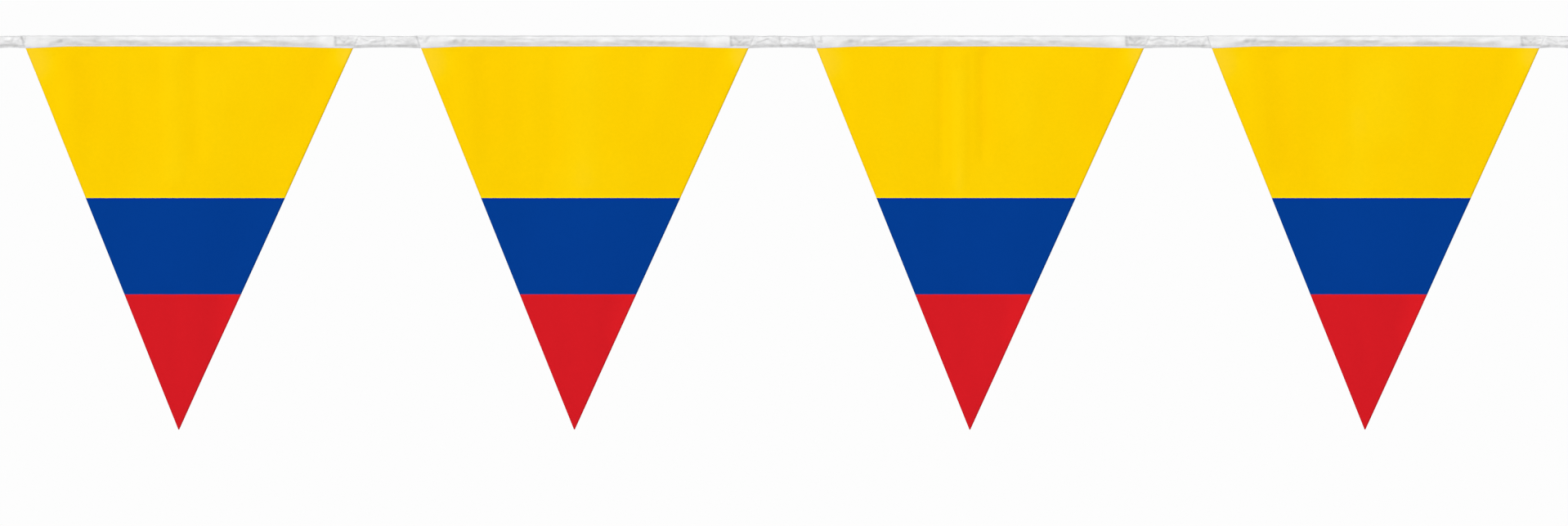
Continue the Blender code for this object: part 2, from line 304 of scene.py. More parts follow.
class PennantSettings(bpy.types.PropertyGroup):
    """The printed cloth of the pennants."""

    yellow: colour_property("Yellow", (0.934, 0.594, 0.0001), "Upper band")
    blue: colour_property("Blue", (0.0006, 0.043, 0.270), "Middle band")
    red: colour_property("Red", (0.640, 0.0105, 0.0165), "Lower band")
    yellow_depth: length_property("Yellow to", 123.6 * MM, "Depth of the yellow below the ribbon's top")
    blue_depth: length_property("Blue to", 197.1 * MM, "Depth of the blue below the ribbon's top")
    thickness: length_property("Thickness", 0.3 * MM, "Thickness of the printed cloth")
    thread_pitch: length_property("Thread Pitch", 0.34 * MM, "Spacing of the woven threads")
    cells: bpy.props.IntProperty(name="Cells", description="Cells along the top edge", default=150, min=20)
    smoothing: bpy.props.IntProperty(name="Smoothing", description="Rounds the solid's facets", default=34)


class RibbonSettings(bpy.types.PropertyGroup):
    """The folded white ribbon."""

    white: colour_property("White", (0.800, 0.800, 0.803), "Cloth of the ribbon")
    selvedge: colour_property("Selvedge", (0.74, 0.79, 0.96), "Its woven edges")
    thickness: length_property("Thickness", 0.35 * MM, "Thickness of the ribbon")
    thread_pitch: length_property("Thread Pitch", 0.4 * MM, "Spacing of the woven threads")
    crumple: length_property("Crumple", 0.42 * MM, "Height of the crumples between the pennants")


class SewingSettings(bpy.types.PropertyGroup):
    """The stitches along the ribbon, and its woven edges."""

    thread: colour_property("Thread", (0.82, 0.82, 0.825), "Sewing thread")
    pitch: length_property("Stitch Pitch", 2.6 * MM, "From one needle hole to the next")
    thread_radius: length_property("Thread Radius", 0.11 * MM, "Half the thread's thickness")
    dip: length_property("Dip", 0.24 * MM, "How far a stitch goes down into the cloth at its ends")
    edge_radius: length_property("Edge Radius", 0.2 * MM, "Half the thickness of the woven edge")
    seed: bpy.props.IntProperty(name="Seed", description="Unevenness of the stitches", default=5)


class StageSettings(bpy.types.PropertyGroup):
    """The light, the floor and the camera."""

    key: number_property("Key", 0.865, "Share of the light from the front")
    sky: number_property("Sky", 0.28, "Soft light from above")
    ground: number_property("Ground", 0.17, "Soft light from below")
    backdrop: number_property("Backdrop", 0.982, "Brightness behind")
    key_azimuth: number_property(
        "Key Azimuth", math.radians(13), "Key light, left of the front", subtype="ANGLE")
    key_elevation: number_property(
        "Key Elevation", math.radians(6), "Key light, above the horizon", subtype="ANGLE")
    floor_drop: length_property("Floor Drop", 0.55, "Floor, below the pennants' tips")
    lens: number_property("Lens", 120.0, "Focal length, millimetres")


class Wire:
    """An output socket of a node. Arithmetic on it adds Math nodes to its tree."""

    def __init__(self, builder, socket):
        self.builder = builder
        self.socket = socket

    def out(self, name):
        """Another output of the same node."""
        return Wire(self.builder, self.socket.node.outputs[name])

    def math(self, operation, *others):
        inputs = dict(enumerate((self, *others)))
        return self.builder.node("ShaderNodeMath", inputs, operation=operation)

    def __add__(self, other):
        return self.math("ADD", other)

    __radd__ = __add__

    def __sub__(self, other):
        return self.math("SUBTRACT", other)

    def __rsub__(self, other):
        return (self * -1) + other

    def __mul__(self, other):
        return self.math("MULTIPLY", other)

    __rmul__ = __mul__


class TreeBuilder:
    """Adds nodes to one tree, each by its type, the values or links of its sockets and its settings."""

    def __init__(self, tree):
        self.tree = tree

    def node(self, kind, inputs=None, output=0, **settings):
        made = self.tree.nodes.new(kind)
        for name, value in settings.items():
            setattr(made, name, value)
        for name, value in (inputs or {}).items():
            if isinstance(value, Wire):
                self.tree.links.new(value.socket, made.inputs[name])
            else:
                made.inputs[name].default_value = value
        return Wire(self, made.outputs[output]) if made.outputs else None

    def place(self):
        """Object coordinates."""
        return self.node("ShaderNodeTexCoord", output=3)

    def flat(self):
        """The place in the flat cloth."""
        return self.node("ShaderNodeUVMap", uv_map="flat")

    def attribute(self, name):
        """One of the piece's own numbers, in a material."""
        return self.node("ShaderNodeAttribute", output=2, attribute_name=name)

    def named(self, name, kind):
        """One of the piece's own values, in a geometry tree."""
        return self.node("GeometryNodeInputNamedAttribute", {"Name": name}, data_type=kind)

    def split(self, vector):
        """The three parts of a vector."""
        x = self.node("ShaderNodeSeparateXYZ", {0: vector})
        return x, x.out("Y"), x.out("Z")

    def join(self, x=0, y=0, z=0):
        """A vector of three parts."""
        return self.node("ShaderNodeCombineXYZ", {0: x, 1: y, 2: z})

    def step(self, value, low, high):
        """0 below low, 1 above high, with an S between."""
        inputs = {"Value": value, "From Min": low, "From Max": high}
        return self.node("ShaderNodeMapRange", inputs, interpolation_type="SMOOTHSTEP")

    def mix(self, factor, first, second, blend="MIX"):
        """Two colours mixed."""
        inputs = {0: factor, 6: opaque(first), 7: opaque(second)}
        return self.node("ShaderNodeMix", inputs, output=2, data_type="RGBA", blend_type=blend)

    def grey(self, value):
        """A number as a grey colour."""
        return self.node("ShaderNodeCombineColor", {0: value, 1: value, 2: value})

    def shaded(self, colour, value):
        """A colour times a number."""
        return self.mix(1.0, colour, self.grey(value), "MULTIPLY")

    def noise(self, place, scale, detail=2.0, stretch=(1, 1, 1)):
        """Soft noise around 0.5, of about 1 / scale metres."""
        mapped = self.node("ShaderNodeMapping", {"Vector": place, "Scale": stretch})
        return self.node("ShaderNodeTexNoise", {"Vector": mapped, "Scale": scale, "Detail": detail})

    def vary(self, amount, place, scale, detail=2.0, stretch=(1, 1, 1)):
        """Soft noise around 0, of half the amount either way."""
        return (self.noise(place, scale, detail, stretch) - 0.5) * amount


def opaque(colour):
    """A colour's three numbers as a socket's four. A linked colour stays as it is."""
    return colour if isinstance(colour, Wire) else (*colour, 1.0)


def new_material(name, colour):
    """An empty node material and the builder of its tree."""
    material = bpy.data.materials.new(name)
    material.use_nodes = True
    material.diffuse_color = opaque(colour)
    material.node_tree.nodes.clear()
    return material, TreeBuilder(material.node_tree)


def finish_surface(builder, colour, roughness, height, bump, relief, gloss, sheen=0.0):
    """A matt surface with fine relief. Gloss and sheen are the same all over."""
    normal = builder.node("ShaderNodeBump", {"Strength": bump, "Distance": relief, "Height": height})
    surface = builder.node("ShaderNodeBsdfPrincipled", {
        "Base Color": colour, "Roughness": roughness, "Normal": normal,
        "Specular IOR Level": gloss, "Sheen Weight": sheen})
    builder.node("ShaderNodeOutputMaterial", {"Surface": surface})


def plain_weave(u, v, pitch):
    """Height of threads that go over and under each other, from -1 to 1."""
    across = (u * (math.pi / pitch)).math("SINE")
    down = (v * (math.pi / pitch)).math("SINE")
    return across * down


def printed_cloth(name, settings, ink):
    """The three printed bands. Ink is 1 on the printed face and less where it has only soaked through."""
    material, b = new_material(name, settings.yellow)
    place = b.place()
    pale = b.attribute("pale")
    u, v, _ = b.split(b.flat())
    depth = v + b.vary(CREEP, place, 900.0, 1.0)
    to_blue = b.step(depth, settings.yellow_depth - BORDER, settings.yellow_depth + BORDER)
    to_red = b.step(depth, settings.blue_depth - BORDER, settings.blue_depth + BORDER)
    # Paleness is partly print and partly painted highlight and painted shade of the soft folds; random
    # mottling is added
    mottled = pale + b.vary(1.4, place, 42.0, 4.0, (1, 1, 0.5))
    yellow = b.mix(mottled * -1, settings.yellow, DEEP_YELLOW)
    yellow = b.mix(mottled, yellow, PALE_YELLOW)
    yellow = b.mix((pale - 1) * 0.5, yellow, PALEST_YELLOW)
    red = b.mix(mottled * 0.33, settings.red, PALE_RED)
    colour = b.mix(to_red, b.mix(to_blue, yellow, settings.blue), red)
    # A band's stronger colour beside a border fades between two distances from it
    for near, far, share, strong, band, away in (
            (0.6, 3.2, 0.55, (0.96, 0.72, 0.0006), 1 - to_blue, settings.yellow_depth - depth),
            (0.4, 2.8, 0.50, (0.0003, 0.018, 0.34), to_blue, depth - settings.yellow_depth),
            (0.4, 2.6, 0.45, (0.80, 0.011, 0.012), to_red, depth - settings.blue_depth)):
        beside = 1 - b.step(away, near * MM, far * MM)
        colour = b.mix(band * beside * share, colour, strong)

    uneven = 1 + b.vary(0.04, place, 28.0, 3.0) + b.vary(0.05, place, 420.0)
    cut_edge = 1 - b.step(b.attribute("edge"), 0.1 * MM, 0.8 * MM)
    colour = b.shaded(colour, uneven * (1 - cut_edge * 0.07))
    if ink < 1:
        colour = b.mix(1 - ink, colour, BARE_THREADS)

    slub = b.noise(place, 260.0, 2.0, (1, 1, 0.12)) + b.noise(place, 260.0, 2.0, (0.12, 1, 1))
    height = plain_weave(u, v, settings.thread_pitch) * 0.5 + slub * 0.6
    roughness = 0.74 + b.vary(0.1, place, 60.0)
    finish_surface(b, colour, roughness, height, 0.22, 0.06 * MM, gloss=0.012)
    return material


def ribbon_cloth(settings):
    """White woven ribbon, with painted shade where it is crumpled and bluer at its woven edges over the
    pennants.
    """
    material, b = new_material("white_ribbon", settings.white)
    flat = b.flat()
    u, v, _ = b.split(flat)
    woven_edge = 1 - b.step(b.attribute("rim"), 0.35 * MM, 0.8 * MM)
    colour = b.mix(woven_edge * 0.9, settings.white, settings.selvedge)
    clouds = b.vary(0.42, flat, 85.0, 4.0, (1, 2.4, 1))
    specks = b.vary(0.06, flat, 900.0, 1.0)
    # Painted shade from the shade attribute, with random cloudy tone and specks
    colour = b.shaded(colour, 1 + clouds + specks - b.attribute("shade") * SHADE_STRENGTH)
    ribs = (v * (2 * math.pi / settings.thread_pitch)).math("SINE")
    weave = plain_weave(u, v, settings.thread_pitch)
    height = weave * 0.6 + ribs * 0.25 + b.noise(flat, 380.0, 3.0) * 1.4
    roughness = 0.66 + b.vary(0.14, flat, 120.0)
    finish_surface(b, colour, roughness, height, 0.4, 0.08 * MM, gloss=0.16, sheen=0.05)
    return material


def thread_cloth(name, colour, twist):
    """Twisted thread: fine slanting ridges round it. Its shade attribute paints it greyer and takes away
    its tint: painted shade.
    """
    material, b = new_material(name, colour)
    place = b.place()
    shade = b.attribute("shade")
    x, y, z = b.split(place)
    strands = ((x + z * 1.2 + y * 0.6) * (2 * math.pi / twist)).math("SINE")
    tone = 1 + strands * 0.05 + b.vary(0.08, place, 350.0) - shade * SHADE_STRENGTH
    shaded = b.shaded(b.mix(shade * 0.7, colour, SHADED_WHITE), tone)
    roughness = 0.6 + b.vary(0.12, place, 800.0)
    finish_surface(b, shaded, roughness, strands, 0.5, 0.03 * MM, gloss=0.2, sheen=0.05)
    return material


def geometry_tree(name, sockets):
    """A geometry tree with named inputs, its builder and its group input."""
    tree = bpy.data.node_groups.new(name, "GeometryNodeTree")
    tree.interface.new_socket("Geometry", in_out="INPUT", socket_type="NodeSocketGeometry")
    for label, kind in sockets:
        tree.interface.new_socket(label, in_out="INPUT", socket_type="NodeSocket" + kind)
    tree.interface.new_socket("Geometry", in_out="OUTPUT", socket_type="NodeSocketGeometry")
    builder = TreeBuilder(tree)
    return tree, builder, builder.node("NodeGroupInput")


def close_tree(builder, geometry, material):
    """Realizes the instances, sets the material and hands the geometry out."""
    realized = builder.node("GeometryNodeRealizeInstances", {"Geometry": geometry})
    smooth = builder.node("GeometryNodeSetShadeSmooth", {"Geometry": realized})
    painted = builder.node("GeometryNodeSetMaterial", {"Geometry": smooth, "Material": material})
    builder.node("NodeGroupOutput", {"Geometry": painted})


def add_tree(piece, tree, values):
    """Puts a geometry tree on a piece, with its inputs set by their identifiers."""
    modifier = piece.modifiers.new(tree.name, "NODES")
    modifier.node_group = tree
    for item in tree.interface.items_tree:
        if item.item_type == "SOCKET" and item.in_out == "INPUT" and item.name in values:
            modifier[item.identifier] = values[item.name]


def make_plain(piece):
    """Replaces a piece's mesh with what its modifiers make of it, and removes them."""
    depsgraph = bpy.context.evaluated_depsgraph_get()
    evaluated = piece.evaluated_get(depsgraph)
    mesh = bpy.data.meshes.new_from_object(evaluated, preserve_all_data_layers=True, depsgraph=depsgraph)
    if not mesh.polygons:
        raise RuntimeError(f"{piece.name} came out empty")
    piece.modifiers.clear()
    piece.data = mesh
    mesh.name = piece.name


def add_object(name, data):
    """A new object at the origin."""
    made = bpy.data.objects.new(name, data)
    bpy.context.scene.collection.objects.link(made)
    return made


def make_cloth(piece, thickness, reverse=0):
    """Gives a sheet its thickness. Reverse is the number of the material on its other side."""
    wall = piece.modifiers.new("Cloth", "SOLIDIFY")
    wall.thickness = thickness
    wall.offset = 0
    wall.material_offset = reverse
    make_plain(piece)


def mesh_piece(name, points, edges, faces, materials=()):
    """A new object at the origin with this mesh."""
    mesh = bpy.data.meshes.new(name)
    mesh.from_pydata(points, edges, faces)
    for material in materials:
        mesh.materials.append(material)
    return add_object(name, mesh)


def set_flat_map(mesh, flat):
    """The piece's own map: each point's place in the flat cloth, in metres."""
    layer = mesh.uv_layers.new(name="flat")
    for loop, corner in zip(mesh.loops, layer.data):
        corner.uv = flat[loop.vertex_index]


def set_attribute(mesh, name, values):
    """One number or vector for each point."""
    values = np.asarray(values, np.float32)
    kind, field = ("FLOAT_VECTOR", "vector") if values.ndim == 2 else ("FLOAT", "value")
    mesh.attributes.new(name, kind, "POINT").data.foreach_set(field, values.ravel())


def smooth_step(low, high, value):
    """0 below low, 1 above high, with an S between."""
    share = np.clip((value - low) / (high - low), 0, 1)
    return share * share * (3 - 2 * share)


def dents(table, number, x, z):
    """The sum of one pennant's strokes: each is its amount along a line and falls softly to 0 at its
    reach on either side."""
    total = np.zeros(np.shape(x))
    for from_x, from_z, to_x, to_z, reach, amount in table.get(EACH, []) + table[number]:
        run_x = to_x - from_x
        run_z = to_z - from_z
        share = ((x - from_x) * run_x + (z - from_z) * run_z) / (run_x * run_x + run_z * run_z)
        share = np.clip(share, 0, 1)
        away = np.hypot(x - from_x - share * run_x, z - from_z - share * run_z) / reach
        total += amount * np.clip(1 - away * away, 0, 1) ** 2
    return total


Outline = namedtuple("Outline", "left right tip top bottom")


def outline_of(node):
    """A pennant's outline, from its solid."""
    low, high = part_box(node)
    tip = [v.co.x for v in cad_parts[node].data.vertices if v.co.z < low.z + TIP_PICK]
    return Outline(low.x, high.x, (min(tip) + max(tip)) / 2, high.z, low.z)


def side_at(outline, z, start):
    """Where a pennant's side is at height z. Start is the end of its top edge on that side."""
    share = (outline.top - z) / (outline.top - outline.bottom)
    return start + (outline.tip - start) * share


OUTLINES = [outline_of(node) for node in PENNANTS]
CORNERS = [side_at(outline, CORNER_LEVEL, outline.left) for outline in OUTLINES]


def triangle_grid(outline, cells):
    """Rows of points from the top edge to the blunt tip, each one point shorter, and their faces."""
    points = []
    faces = []
    first = 0
    for row in range(cells):
        count = cells - row + 1
        share = row / (cells - 1)
        z = outline.top + (outline.bottom - outline.top) * share
        left = outline.left + (outline.tip - TIP_WIDTH / 2 - outline.left) * share
        right = outline.right + (outline.tip + TIP_WIDTH / 2 - outline.right) * share
        points += [(left + (right - left) * place / (count - 1), 0.0, z) for place in range(count)]
        if row < cells - 1:
            below = first + count
            faces += [(first + j, below + j, first + j + 1) for j in range(count - 1)]
            faces += [(first + j + 1, below + j, below + j + 1) for j in range(count - 2)]
        first += count
    return points, faces


def edge_distance(outline, x, z):
    """Distance of each point from the nearer slanted side."""
    fall = outline.top - outline.bottom
    left = (x - side_at(outline, z, outline.left)) * fall / math.hypot(fall, outline.tip - outline.left)
    right = (side_at(outline, z, outline.right) - x) * fall / math.hypot(fall, outline.right - outline.tip)
    return np.minimum(left, right)


def drape_tree():
    """Lays a flat sheet midway between the front and the back of a solid, softens it and adds folds."""
    tree, b, entry = geometry_tree("Drape On Solid", [
        ("Solid", "Object"), ("Reach", "Float"), ("Smoothing", "Int"), ("Material", "Material")])
    solid = b.node("GeometryNodeObjectInfo", {"Object": entry.out("Solid")}, output="Geometry")
    aim_x, _, aim_z = b.split(b.named("aim", "FLOAT_VECTOR"))
    reach = entry.out("Reach")
    faces = []
    for toward in (1, -1):
        hit = b.node("GeometryNodeRaycast", {
            "Target Geometry": solid, "Source Position": b.join(aim_x, reach * -toward, aim_z),
            "Ray Direction": (0, toward, 0), "Ray Length": reach * 2}, output="Hit Position")
        faces.append(b.split(hit)[1])
    middle = (faces[0] + faces[1]) * 0.5
    soft = b.node("GeometryNodeBlurAttribute", {0: middle, "Iterations": entry.out("Smoothing")})
    x, _, z = b.split(b.node("GeometryNodeInputPosition"))
    place = b.join(x, soft + b.named("fold", "FLOAT"), z)
    draped = b.node("GeometryNodeSetPosition", {"Geometry": entry.out("Geometry"), "Position": place})
    close_tree(b, draped, entry.out("Material"))
    return tree


def pennant_sheet(number, settings, tree, materials):
    """One pennant: a flat triangle of cloth, draped on its solid's folds and given its own small ones."""
    outline = OUTLINES[number]
    points, faces = triangle_grid(outline, settings.cells)
    piece = mesh_piece(f"pennant_cloth_{number + 1}", points, [], faces, materials)
    place = np.array(points)
    x = place[:, 0]
    z = place[:, 2]
    across = (x - CORNERS[number]) / MM
    down = -z / MM
    ripple = RIPPLE_HEIGHT * np.array([
        noise.noise(Vector((a / RIPPLE_WIDTH, d / RIPPLE_LENGTH, number * RIPPLE_SEED)))
        for a, d in zip(across, down)])
    folds = (dents(PENNANT_FOLDS, number, across, down) + ripple) * smooth_step(*BELOW_RIBBON, down) * MM
    middle = (outline.left + outline.right + outline.tip) / 3
    centre = np.array((middle, 0, (2 * outline.top + outline.bottom) / 3))
    mesh = piece.data
    set_flat_map(mesh, np.column_stack((x - outline.left, -z)))
    set_attribute(mesh, "edge", edge_distance(outline, x, z))
    set_attribute(mesh, "fold", folds)
    set_attribute(mesh, "pale", dents(PENNANT_TINTS_AND_LIGHT, number, across, down))
    set_attribute(mesh, "aim", centre + (place - centre) * AIM_SHARE)
    add_tree(piece, tree, {
        "Solid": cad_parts[PENNANTS[number]], "Reach": RAY_REACH,
        "Smoothing": settings.smoothing, "Material": materials[0]})
    make_cloth(piece, settings.thickness, 1)
    for name in ("aim", "fold"):
        piece.data.attributes.remove(piece.data.attributes[name])
    low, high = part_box(PENNANTS[number])
    reached = [v.co.y for v in piece.data.vertices]
    if min(reached) < low.y - MM or max(reached) > high.y + MM:
        raise RuntimeError(f"{piece.name} left its solid: a ray missed it")
    return piece


def cast(tree, start, direction):
    """Where a ray meets the solid, or a point far above it where the ray misses."""
    hit = tree.ray_cast(Vector(start), Vector(direction), 2 * RAY_REACH)[0]
    return hit if hit is not None else Vector((0, 0, 1))


def ribbon_stations():
    """The X of each section, closer together near the corners and between the pennants."""
    low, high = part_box(TAPE)
    places = [low.x]
    while places[-1] < high.x - FINE_STEP:
        along = places[-1] - CORNERS[nearest_pennant(places[-1])]
        places.append(places[-1] + (PLAIN_STEP if PLAIN_FROM < along < PLAIN_TO else FINE_STEP))
    places.append(high.x)
    return np.array(places)


def nearest_pennant(x):
    """The pennant whose middle is nearest to x."""
    middles = [(outline.left + outline.right) / 2 for outline in OUTLINES]
    return min(range(len(middles)), key=lambda number: abs(middles[number] - x))


def sample_tape(x, shares):
    """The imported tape's top at each station, and its edges and faces in front and at the back."""
    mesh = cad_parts[TAPE].data
    tree = BVHTree.FromPolygons([v.co for v in mesh.vertices], [p.vertices for p in mesh.polygons])
    low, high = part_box(TAPE)
    probe = np.clip(x, low.x + END_CLEAR, high.x - END_CLEAR)
    top = np.zeros(len(x))
    edges = np.zeros((2, len(x)))
    faces = np.zeros((2, len(x), len(shares)))
    for i, place in enumerate(probe):
        sides = [cast(tree, (place, -RAY_REACH * toward, BODY_LEVEL), (0, toward, 0)).y
                 for toward in (1, -1)]
        top[i] = cast(tree, (place, sum(sides) / 2, RAY_REACH), (0, 0, -1)).z
        for side, toward in enumerate((1, -1)):
            edges[side, i] = min(
                cast(tree, (place, sides[side] + toward * inward, -RAY_REACH), (0, 0, 1)).z
                for inward in EDGE_PROBES)
            for j, share in enumerate(shares):
                z = top[i] + (edges[side, i] - top[i]) * share
                z = min(max(z, edges[side, i] + RIM_CLEAR), top[i] - FOLD_CLEAR)
                faces[side, i, j] = cast(tree, (place, -RAY_REACH * toward, z), (0, toward, 0)).y
    soft = settling(x, SETTLE)
    return soft @ top, [soft @ edge for edge in edges], [soft @ face for face in faces]


def settling(x, reach):
    """A matrix that rounds what varies along the stations, over about this length."""
    weights = np.exp(-((x[:, None] - x[None, :]) / reach) ** 2) * np.gradient(x)[None, :]
    return weights / weights.sum(axis=1, keepdims=True)


def over_pennant(x, z):
    """1 where a pennant is inside the ribbon, 0 where none is, with the step of its slanted side."""
    inside = np.zeros(np.broadcast(x, z).shape)
    for outline in OUTLINES:
        left = side_at(outline, z, outline.left)
        right = side_at(outline, z, outline.right)
        half = SIDE_EDGE / 2
        inside += smooth_step(-half, half, x - left) * smooth_step(-half, half, right - x)
    return inside


def standoff(along, share, inside):
    """How far the ribbon's layer stands from the middle, for its place along a pennant and its depth."""
    kinds = {kind: np.interp(share, STANDOFFS["share"], row) * MM for kind, row in STANDOFFS.items()}
    reached = kinds["pressed"] + (kinds["middle"] - kinds["pressed"]) * smooth_step(*PRESSED_END, along)
    reached = reached + (kinds["smooth"] - reached) * smooth_step(*SMOOTH_START, along)
    reached = reached + (kinds["corner"] - reached) * smooth_step(*CORNER_START, along)
    return kinds["gap"] + (reached - kinds["gap"]) * inside


def round_over(share):
    """The fold's half round: 0 at the very top, 1 where the sides begin."""
    return np.sqrt(1 - (1 - np.clip(share / TURN, 0, 1)) ** 2)


def ribbon_relief(number, along, down, amplitude, seed):
    """Crumples and creases of the ribbon, in metres, positive where it is pressed in."""
    relief = np.zeros(along.shape)
    for index, height in np.ndenumerate(amplitude):
        plain = PLAIN_FROM < along[index] * MM < PLAIN_TO
        length = CRUMPLE_LENGTH_PLAIN if plain else CRUMPLE_LENGTH
        own_seed = seed + number[index[0]] * SEED_STEP
        place = Vector((along[index] / length, down[index] / CRUMPLE_HEIGHT, own_seed))
        valley = VALLEY_LEVEL - abs(noise.noise(place)) * 2
        relief[index] = height * (valley + FINE_SHARE * noise.noise(place * FINE_SCALE))
    for each in set(number):
        rows = number == each
        relief[rows] += dents(RIBBON_CREASES, each, along[rows], down[rows]) * MM
    return relief


def looseness(along, inside):
    """The share of the crumples that is left: all between the pennants, less over them."""
    plain = smooth_step(*PRESSED_END, along) * (1 - smooth_step(*SMOOTH_START, along))
    corner = smooth_step(*CORNER_START, along)
    over = PRESSED_CRUMPLE + PLAIN_CRUMPLE * plain + CORNER_CRUMPLE * corner
    return (1 - inside) + inside * over


Ribbon = namedtuple("Ribbon", "x front back shade")


def ribbon_form(settings):
    """The ribbon's two layers, with points from the fold down to the edge at each station, and how much
    painted shade each point has."""
    x = ribbon_stations()
    shares = np.linspace(0, 1, SIDE_POINTS + 1) ** SIDE_SPREAD
    top, edges, (front, back) = sample_tape(x, shares)
    number = np.array([nearest_pennant(place) for place in x])
    along = (x - np.array(CORNERS)[number])[:, None] + 0 * shares
    rounded = round_over(shares)
    free = rounded * (1 - FIRM_SHARE * smooth_step(*FIRM, shares))
    centre = (front + back) / 2 * (1 - DRAWN_IN * shares)
    half = (back - front) / 2
    swell = half / (settling(x, SETTLE_WIDTH) @ half)
    shut = (settings.thickness + CLOSE_GAP) / 2
    opened = (bpy.context.scene.bunting_pennants.thickness + settings.thickness) / 2 + CLOSE_GAP
    stretch_shade = ribbon_shade_stretches(along)
    layers = []
    shades = []
    for side, edge in zip((-1, 1), edges):
        z = top[:, None] + (edge - top)[:, None] * shares
        inside = over_pennant(x[:, None], z)
        crumple = settings.crumple * looseness(along, inside)
        place = (number, along / MM, (top[:, None] - z) / MM)
        relief = ribbon_relief(*place, crumple, FRONT_SEED)
        if side == 1:
            own = ribbon_relief(*place, crumple, BACK_SEED)
            relief = relief * SHOWN_THROUGH - own * (1 - SHOWN_THROUGH)
        stand = standoff(along, shares, inside) * swell * rounded
        least = (shut + (opened - shut) * inside) * rounded
        resting = centre * (1 - inside)
        y = centre + side * stand + relief * free
        y = np.minimum(y, resting - least) if side < 0 else np.maximum(y, resting + least)
        layers.append(np.stack((x[:, None] + 0 * z, y, z), axis=-1))
        # Painted shade where the cloth turns in as it goes down, as under light from above; a little
        # painted highlight where it turns out
        turning_in = np.clip(-side * np.gradient(y, axis=1) / -np.gradient(z, axis=1), TURN_OUT, 1)
        # The painted shade also darkens the hollows by their depth, and fades out near the woven edge over
        # a pennant
        unshaded = 1 - UNSHADED_SHARE * smooth_step(*UNSHADED_EDGE, shares) * inside
        shades.append((stretch_shade + relief * rounded / HOLLOW + SLOPE_SHADE * turning_in) * unshaded)
    return Ribbon(x, layers[0], layers[1], shades)


def ribbon_shade_stretches(along):
    """The ribbon's painted shade along its length: more where it is crumpled, and a painted highlight
    where it lies smooth.
    """
    return sum(
        grey * smooth_step(*fade_in, along) * (1 - smooth_step(*fade_out, along))
        for fade_in, fade_out, grey in SHADE_STRETCHES)


def ribbon_sheet(form, settings, material):
    """The ribbon itself, from its front edge over the fold to its back edge, and its flat width."""
    across = np.concatenate((form.front[:, ::-1], form.back[:, 1:]), axis=1)
    shade = np.concatenate((form.shade[0][:, ::-1], form.shade[1][:, 1:]), axis=1)
    stations, count = across.shape[:2]
    points = [tuple(point) for point in across.reshape(-1, 3)]
    faces = [(i * count + j, (i + 1) * count + j, (i + 1) * count + j + 1, i * count + j + 1)
             for i in range(stations - 1) for j in range(count - 1)]
    piece = mesh_piece("ribbon", points, [], faces, [material])
    steps = np.linalg.norm(np.diff(across, axis=1), axis=2).mean(axis=0)
    width = np.concatenate(([0], np.cumsum(steps)))
    flat = np.stack(np.meshgrid(form.x - form.x[0], width, indexing="ij"), axis=-1).reshape(-1, 2)
    rim = np.minimum(flat[:, 1], width[-1] - flat[:, 1])
    between = np.repeat(1 - over_pennant(form.x, CORNER_LEVEL), count)
    mesh = piece.data
    mesh.shade_smooth()
    set_flat_map(mesh, flat)
    set_attribute(mesh, "rim", rim + between * MM)
    set_attribute(mesh, "shade", shade.ravel())
    make_cloth(piece, settings.thickness)
    return piece, float(width[-1])


def path_piece(name, front, back, shade, tree, values):
    """What a tree makes along a line on the front layer and one on the back layer. Shade is their painted
    shade.
    """
    count = len(front)
    edges = [(first + i, first + i + 1) for first in (0, count) for i in range(count - 1)]
    piece = mesh_piece(name, [tuple(point) for point in np.concatenate((front, back))], edges, [])
    outward = [(0.0, -1.0, 0.0)] * count + [(0.0, 1.0, 0.0)] * count
    set_attribute(piece.data, "outward", outward)
    set_attribute(piece.data, "shade", np.concatenate(shade))
    add_tree(piece, tree, values)
    make_plain(piece)
    return piece


def tube(builder, line, sides, radius):
    """A closed tube along a line."""
    ring = builder.node("GeometryNodeCurvePrimitiveCircle", {"Resolution": sides, "Radius": radius})
    return builder.node(
        "GeometryNodeCurveToMesh", {"Curve": line, "Profile Curve": ring, "Fill Caps": True})


def stitch_tree():
    """Stitches end to end along a line: each a short arc of thread that dips into its needle holes."""
    tree, b, entry = geometry_tree("Stitches", [
        ("Pitch", "Float"), ("Thread Radius", "Float"), ("Dip", "Float"), ("Seed", "Int"),
        ("Material", "Material")])
    line = b.node("GeometryNodeMeshToCurve", {"Mesh": entry.out("Geometry")})
    pitch = entry.out("Pitch")
    holes = b.node("GeometryNodeResampleCurve", {"Curve": line, "Length": pitch}, mode="LENGTH")
    half = pitch * (STITCH_SHARE / 2)
    dip = entry.out("Dip") * -1
    arc = b.node("GeometryNodeCurveQuadraticBezier", {
        "Resolution": 5, "Start": b.join(x=half * -1, z=dip), "Middle": b.join(z=entry.out("Dip") * CROWN),
        "End": b.join(x=half, z=dip)})
    stitch = tube(b, arc, 6, entry.out("Thread Radius"))
    tangent = b.node("GeometryNodeInputTangent")
    along = b.node("FunctionNodeAlignRotationToVector", {"Vector": tangent}, axis="X")
    outward = {"Rotation": along, "Vector": b.named("outward", "FLOAT_VECTOR")}
    turned = b.node("FunctionNodeAlignRotationToVector", outward, axis="Z", pivot_axis="X")
    sizes = {0: LEAST_SIZE, 1: MOST_SIZE, "Seed": entry.out("Seed")}
    size = b.node("FunctionNodeRandomValue", sizes, data_type="FLOAT_VECTOR")
    placed = b.node("GeometryNodeInstanceOnPoints", {
        "Points": holes, "Instance": stitch, "Rotation": turned, "Scale": size})
    close_tree(b, placed, entry.out("Material"))
    return tree


